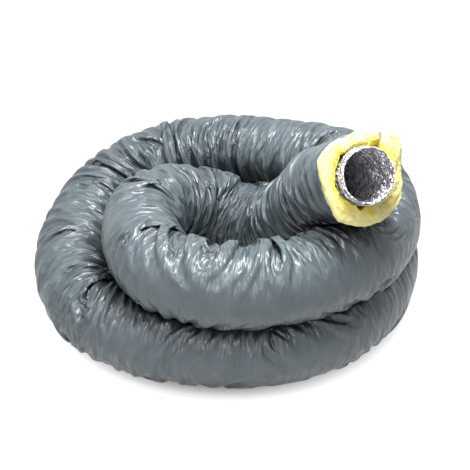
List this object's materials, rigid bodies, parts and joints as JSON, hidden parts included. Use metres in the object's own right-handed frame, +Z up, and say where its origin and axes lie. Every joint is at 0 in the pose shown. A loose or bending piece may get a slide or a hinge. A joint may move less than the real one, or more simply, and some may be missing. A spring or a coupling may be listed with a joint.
{
  "type": "flexible air duct",
  "caption": "Insulated flexible air duct wound in a loose coil: ribbed foil core with a spring wire, glass wool blanket and thin grey sleeve, free end laid on top.",
  "frame": {"origin": "centre of the coil's box, on the floor that it lies on", "axes": "+Z up; +X towards the side that the free end points to; -Y towards the free end's mouth"},
  "size_m": [0.8009, 0.7791, 0.4866],
  "materials": {
    "sleeve_film": "thin grey film, creased, semi-gloss",
    "glass_wool": "pale yellow glass wool",
    "core_foil": "crumpled metallised foil laminate",
    "spring_wire": "bright drawn wire"
  },
  "bodies": {
    "coil": {"sleeve_tail_end": "sleeve_film", "sleeve_lower_turn": "sleeve_film", "sleeve_upper_turn": "sleeve_film", "sleeve_bend": "sleeve_film", "insulation_tail_end": "glass_wool", "insulation_lower_turn": "glass_wool", "insulation_upper_turn": "glass_wool", "insulation_bend": "glass_wool", "core_inner_ply_lower_turn": "core_foil", "core_inner_ply_upper_turn": "core_foil", "core_inner_ply_bend": "core_foil", "core_outer_ply_lower_turn": "core_foil", "core_outer_ply_upper_turn": "core_foil", "core_outer_ply_bend": "core_foil", "core_wire_lower_turn": "spring_wire", "core_wire_upper_turn": "spring_wire", "core_wire_bend": "spring_wire"},
    "free_end": {"sleeve_free_end": "sleeve_film", "insulation_free_end": "glass_wool", "core_inner_ply_free_end": "core_foil", "core_outer_ply_free_end": "core_foil", "core_wire_free_end": "spring_wire"},
    "free_tip": {"core_inner_ply_free_tip": "core_foil", "core_outer_ply_free_tip": "core_foil", "core_wire_free_tip": "spring_wire"},
    "tail_tip": {"core_inner_ply_tail_tip": "core_foil", "core_outer_ply_tail_tip": "core_foil", "core_wire_tail_tip": "spring_wire"}
  },
  "joints": [
    {"name": "free_end_lift", "type": "hinge", "parent": "coil", "child": "free_end", "pos_m": [0.064, 0.068, 0.114], "axis": [-0.8802, -0.4746, 0], "range_deg": [0, 25], "deforming": ["sleeve_bend", "insulation_bend", "core_inner_ply_bend", "core_outer_ply_bend", "core_wire_bend"]},
    {"name": "free_tip_slide", "type": "slide", "parent": "free_end", "child": "free_tip", "axis": [0.3176, -0.7941, 0.5182], "range_m": [0, 0.05]},
    {"name": "tail_tip_slide", "type": "slide", "parent": "coil", "child": "tail_tip", "axis": [-0.3162, 0.9487, 0], "range_m": [0, 0.05]}
  ]
}
